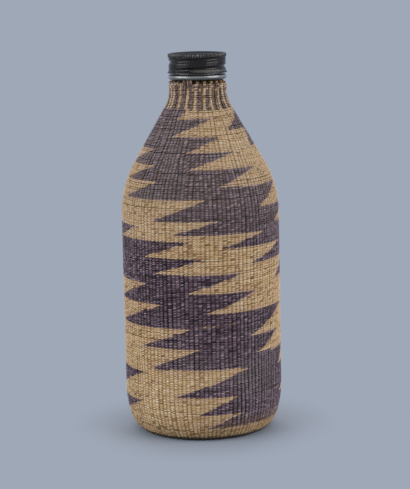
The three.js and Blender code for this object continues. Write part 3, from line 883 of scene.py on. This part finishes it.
class BOTTLE_OT_cap(bpy.types.Operator):
    """Presses the screw cap with its knurls, rolled thread and flared lip"""
    bl_idname = "covered_bottle.press_cap"
    bl_label = "Press the cap"

    def execute(self, context):
        cap = context.scene.bottle_cap
        low, high = (corner.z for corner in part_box("screw_cap"))
        skirt = cap.skirt_radius
        hem_round = 0.16 * MM
        lip_top = low + cap.lip_height
        curl_drop = 0.75 * cap.lip_height
        edge_radius = skirt - cap.edge
        panel = [(radius, high - cap.crown * (radius / skirt) ** 2)
                 for radius in np.linspace(0, edge_radius, 8)]
        ceiling = [(radius, height - cap.wall) for radius, height in panel]
        edge_top = panel[-1][1]
        edge_low = edge_top - cap.edge
        wall = levels_of(skirt, np.arange(lip_top, edge_low, 0.12 * MM))
        round_edge = arc(edge_radius, edge_low, cap.edge, cap.edge, 0, math.pi / 2, 9)
        curl = [(skirt + cap.flare * (1 - math.cos(t)) / 2, lip_top - curl_drop * t / math.pi)
                for t in np.linspace(0, math.pi, 9)]
        hem = arc(skirt + cap.flare - hem_round, low + hem_round, hem_round, hem_round, 0, -math.pi / 2, 5)
        under = [(radius - cap.wall, height) for radius, height in [*wall[::-1], *curl]]
        profile = [*ceiling, *under, *hem[::-1], *curl[::-1], *wall, *round_edge, *panel[-2::-1]]
        knurl_low = high - cap.knurl_height
        knurl_run = 0.3 * MM
        groove_half = 1.8 * cap.groove_depth
        groove_run = math.radians(24)

        def pressed(turn, radius, height):
            sunk = np.zeros(np.broadcast(turn, height).shape)
            for lap in (-2 * math.pi, 0.0):
                path = turn + lap
                ends = np.minimum(path - cap.groove_start, cap.groove_end - path)
                middle = high - cap.groove_drop + cap.pitch * path / (2 * math.pi)
                across = np.clip((height - middle) / groove_half, -1, 1)
                fade = np.clip(ends / groove_run, 0, 1)
                sunk = np.maximum(sunk, fade * np.cos(across * math.pi / 2) ** 1.5)
            on_wall = (radius > skirt - 2 * cap.wall) & (height < edge_low)
            outside = (radius > skirt - 0.6 * cap.wall) | (height > edge_low + 0.2 * cap.edge)
            rib = 0.5 - 0.5 * np.cos(cap.knurl_count * turn)
            band = np.clip((height - knurl_low) / knurl_run, 0, 1)
            band = band * np.clip((edge_top - height) / knurl_run, 0, 1)
            return radius - on_wall * cap.groove_depth * sunk + outside * cap.knurl_depth * rib * band

        mesh = turned_mesh("screw_cap_pressed", profile, 6 * cap.knurl_count, pressed)
        self.keep_wear(mesh, cap, low, edge_top)
        add_piece("lacquered_cap", mesh, "cap", lacquered_tin(), ["screw_cap"])
        return {"FINISHED"}

    def keep_wear(self, mesh, cap, low, edge_top):
        """Marks where hands and tables rubbed the lacquer: lip, knurl tips, top edge and right side."""
        x, y, z = np.array([v.co for v in mesh.vertices]).T
        proud = np.hypot(x, y) - cap.skirt_radius
        turn = np.arctan2(x, -y)
        worn_turn, worn_reach = 0.4, 0.8
        lip_height, lip_half = low + 1.25 * MM, 0.7 * MM
        side_low, side_high = low + 0.5 * MM, 5 * MM
        right = np.exp(-((turn - worn_turn) / worn_reach) ** 2)
        lip = np.clip(1.3 - abs(z - lip_height) / lip_half, 0, 1) * (0.2 + 0.8 * right)
        tips = np.clip((proud - 0.12 * MM) / (0.1 * MM), 0, 1) * (z > edge_top - cap.knurl_height)
        edge = np.clip(1 - abs(z - edge_top + 0.25 * MM) / (0.3 * MM), 0, 1) * (proud > -0.6 * MM)
        side = right * np.clip(1 - (z - low) / side_high, 0, 1) * (z > side_low)
        # The top is dull all over from dust and the hand.
        set_attribute(mesh, "dull", 0.6 * (proud < -cap.edge) * (z > edge_top - 0.1 * MM))
        set_attribute(mesh, "wear", np.maximum.reduce((0.66 * lip, 0.42 * tips, 0.45 * edge, 0.4 * side)))


class BOTTLE_OT_liner(bpy.types.Operator):
    """Cuts the board disc that seals the mouth"""
    bl_idname = "covered_bottle.cut_liner"
    bl_label = "Cut the liner"

    def execute(self, context):
        cap = context.scene.bottle_cap
        low, high = (corner.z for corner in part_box("cap_liner"))
        radius = reach("cap_liner")
        soft = 0.2 * MM
        corner = 0.3 * soft
        dent = 0.1 * MM
        bore = cap.finish_radius - cap.glass_wall
        brim = high - cap.crown * (radius / cap.skirt_radius) ** 2
        profile = [
            (0, low), (bore - soft, low),
            (bore + soft, low + dent), (cap.finish_radius - 3 * soft, low + dent),
            (cap.finish_radius - soft, low), (radius - soft, low),
            (radius - corner, low + corner), (radius, low + soft),
            (radius, brim - soft), (radius - corner, brim - corner),
            (radius - soft, brim), (0, high),
        ]
        mesh = turned_mesh("cap_liner_cut", profile, 96)
        mesh.set_sharp_from_angle(angle=math.radians(40))
        add_piece("board_liner", mesh, "liner", pulp_board(), ["cap_liner"])
        return {"FINISHED"}


class BOTTLE_OT_warps(bpy.types.Operator):
    """Gives the warps their split-stick finish"""
    bl_idname = "covered_bottle.finish_warps"
    bl_label = "Finish the warps"

    def execute(self, context):
        material = split_stick()
        for name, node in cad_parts.items():
            if name.startswith("warp_"):
                for place in node.material_slots:
                    place.material = material
        return {"FINISHED"}


class BOTTLE_OT_backing(bpy.types.Operator):
    """Lays the back strands behind the stitches"""
    bl_idname = "covered_bottle.lay_backing"
    bl_label = "Lay the backing"

    def execute(self, context):
        cover = context.scene.bottle_cover
        top = cover.rim_height - 1.5 * cover.row_pitch
        front_depth, back_depth = 0.72 * MM, 1.05 * MM
        lines = [cover_line(depth)[::6] for depth in (front_depth, back_depth)]
        front, back = [line[line[:, 1] < top] for line in lines]
        mesh = turned_mesh("weft_backing", [*front, *back[::-1]], 112)
        add_piece("weft_backing", mesh, "bottle", backing_straw())
        return {"FINISHED"}


class BOTTLE_OT_base(bpy.types.Operator):
    """Twines the base from its start out to the foot"""
    bl_idname = "covered_bottle.twine_base"
    bl_label = "Twine the base"

    def execute(self, context):
        stitches = lay_stitches()
        for node in ("base_start", "base_weft"):
            twine(f"twined_{node}", stitches, stitches["node"] == node, tan_straw(), "tan_straw", [node])
        return {"FINISHED"}


class BOTTLE_OT_wall(bpy.types.Operator):
    """Twines the tan wall and the two dark bands, with one light mend in the dark"""
    bl_idname = "covered_bottle.twine_wall"
    bl_label = "Twine the wall"

    def execute(self, context):
        stitches = dict(lay_stitches())
        tan = tan_straw()
        dark = dark_straw()
        turn, height = stitches["turn"], stitches["place"][:, 2]
        field = stitches["node"] == "tan_weft"
        # The tan wall is two pieces, so that each stays under 200,000 triangles.
        low = height < 72 * MM
        # Half of the stitches of one row, for 17 degrees to both sides of its middle, were mended.
        mend_turn, mend_half = math.radians(9), math.radians(17)
        mend_height, mend_rise = 57.2 * MM, 4 * MM
        mend = np.char.startswith(stitches["node"], "dark") & (stitches["tone"] * 97 % 1 < 0.5)
        mend &= abs(turn - mend_turn) < mend_half
        mend &= abs(height - mend_height - mend_rise * turn) < 0.5 * MM
        stitches["tone"] = stitches["tone"] + 0.3 * mend
        twine("twined_tan_lower", stitches, field & low, tan, "tan_straw", ["tan_weft"])
        twine("twined_tan_upper", stitches, field & ~low, tan, "tan_straw", ["tan_weft"])
        twine("mended_stitches", stitches, mend, worn_straw(), "tan_straw")
        for node in ("dark_band_1", "dark_band_2"):
            twine(f"twined_{node}", stitches, (stitches["node"] == node) & ~mend, dark, "dark_straw", [node])
        return {"FINISHED"}


class BOTTLE_OT_neck(bpy.types.Operator):
    """Twines the striped neck and the last row at the rim"""
    bl_idname = "covered_bottle.twine_neck"
    bl_label = "Twine the neck"

    def execute(self, context):
        cover = context.scene.bottle_cover
        stitches = dict(lay_stitches())
        dark = worn_straw()
        # Near the rim the two strands have changed places in one stitch of three.
        last_rows, mixed, paler = 4, 0.3, 0.18
        jumble = stitches["row"] > stitches["row"].max() - last_rows
        jumble &= stitches["tone"] * 97 % 1 < mixed
        light = (stitches["order"] % cover.stripe_columns == 0) ^ jumble
        stitches["tone"] = stitches["tone"] + paler * light
        neck = stitches["node"] == "neck_weft"
        loose = {"swing": math.radians(15), "uneven": 0.22}
        twine("twined_neck_light", stitches, neck & light, tan_straw(), "neck_straw", ["neck_weft"], **loose)
        twine("twined_neck_dark", stitches, neck & ~light, dark, "neck_straw", ["neck_weft"], **loose)
        twine("twined_rim", stitches, stitches["node"] == "rim_row", dark, "dark_straw", ["rim_row"])
        return {"FINISHED"}


class BOTTLE_OT_ends(bpy.types.Operator):
    """Leaves the broken ends of the warps standing at the rim, thickest where the last row ends"""
    bl_idname = "covered_bottle.break_ends"
    bl_label = "Break the warp ends"

    def execute(self, context):
        cover = context.scene.bottle_cover
        draw = np.random.default_rng(cover.seed + 1)
        # A short stub stands by most columns, and a clump of taller ends by the end of the last row.
        sparse, clump = 46, 16
        clump_from, clump_to = cover.row_end - math.radians(19), cover.row_end + math.radians(1)
        round_rim = np.linspace(-math.pi, math.pi, sparse, endpoint=False) + draw.normal(0, 0.03, sparse)
        turn = np.concatenate((round_rim, draw.uniform(clump_from, clump_to, clump)))
        tall = np.concatenate((draw.uniform(0.1, 0.6, sparse), draw.uniform(0.6, 1.8, clump))) * MM
        depth = np.concatenate((draw.uniform(1.0, 1.5, sparse), draw.uniform(-0.35, 0.3, clump))) * MM
        step = cover.row_pitch * ((turn - cover.row_end) / (2 * math.pi) % 1 - 1)
        root = 1.2 * MM
        front, side = around(turn)
        foot = (cover.neck_radius - depth)[:, None] * front
        foot[:, 2] = cover.rim_height - 0.3 * MM + step - root
        lean = draw.normal(0, 0.22, len(turn))
        girth = draw.uniform(0.35, 0.6, len(turn))
        attributes = {
            "face_out": front,
            "strand_run": lean[:, None] * side + UPRIGHT,
            "shape_size": np.column_stack(((tall + root) / MM, girth, girth)),
            "tone": draw.random(len(turn)),
            "tinted": np.zeros(len(turn)),
        }
        material = worn_straw()
        mesh = repeat_shape("broken_ends", splinter_mesh(), foot, attributes, material,
                            math.radians(6), 0.1, cover.seed)
        add_piece("broken_ends", mesh, "bottle", material)
        return {"FINISHED"}


class BOTTLE_PT_panel(bpy.types.Panel):
    """Steps and sizes of the bottle"""
    bl_idname = "BOTTLE_PT_panel"
    bl_label = "Basket-covered bottle"
    bl_space_type = "VIEW_3D"
    bl_region_type = "UI"
    bl_category = "Bottle"

    def draw(self, context):
        for step in STEPS:
            self.layout.operator(step.bl_idname)
        for group in SETTINGS:
            box = self.layout.box()
            settings = getattr(context.scene, group)
            for key in settings.bl_rna.properties.keys():
                if key not in ("rna_type", "name"):
                    box.prop(settings, key)


SETTINGS = {
    "bottle_cover": CoverSettings,
    "bottle_cap": CapSettings,
    "bottle_finish": FinishSettings,
    "bottle_stage": StageSettings,
}
STEPS = [
    BOTTLE_OT_stage,
    BOTTLE_OT_glass,
    BOTTLE_OT_cap,
    BOTTLE_OT_liner,
    BOTTLE_OT_warps,
    BOTTLE_OT_backing,
    BOTTLE_OT_base,
    BOTTLE_OT_wall,
    BOTTLE_OT_neck,
    BOTTLE_OT_ends,
]


def register():
    for kind in (*SETTINGS.values(), *STEPS, BOTTLE_PT_panel):
        bpy.utils.register_class(kind)
    for name, kind in SETTINGS.items():
        setattr(bpy.types.Scene, name, PointerProperty(type=kind))


def unregister():
    for name in SETTINGS:
        delattr(bpy.types.Scene, name)
    for kind in reversed((*SETTINGS.values(), *STEPS, BOTTLE_PT_panel)):
        bpy.utils.unregister_class(kind)


def main():
    register()
    for step in STEPS:
        group, name = step.bl_idname.split(".")
        getattr(getattr(bpy.ops, group), name)()


if __name__ == "__main__":
    main()
